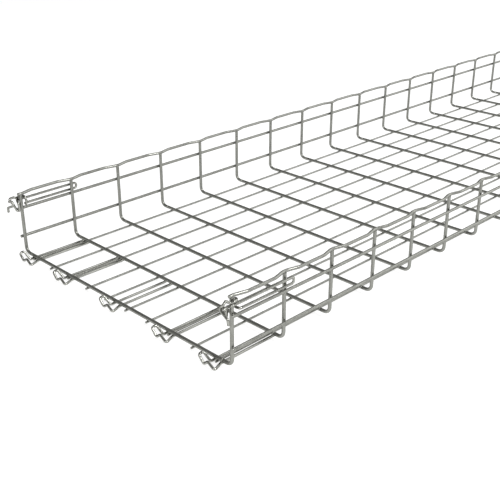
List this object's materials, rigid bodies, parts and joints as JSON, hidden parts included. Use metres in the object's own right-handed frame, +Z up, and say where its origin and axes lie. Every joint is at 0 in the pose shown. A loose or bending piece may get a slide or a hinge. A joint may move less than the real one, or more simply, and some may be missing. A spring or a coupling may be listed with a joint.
{
  "type": "wire mesh cable basket",
  "caption": "Straight welded wire cable basket with bent-up sides, waved top rails, floor hooks and side spring couplers that join it to the next length.",
  "frame": {"origin": "middle of the bounding box, at the level of the lowest point", "axes": "+X along the basket away from the coupling end, +Y across to the left side, +Z up"},
  "size_m": [3.0264, 0.5354, 0.1165],
  "materials": {
    "mesh_wire": "galvanised, satin",
    "hook_wire": "galvanised, satin"
  },
  "bodies": {
    "root": {"floor_mesh": "mesh_wire", "left_side_mesh": "mesh_wire", "right_side_mesh": "mesh_wire", "floor_hook_1": "hook_wire", "floor_hook_2": "hook_wire", "floor_hook_3": "hook_wire", "floor_hook_4": "hook_wire", "floor_hook_5": "hook_wire", "side_coupler_left": "hook_wire", "side_coupler_right": "hook_wire"}
  },
  "joints": []
}
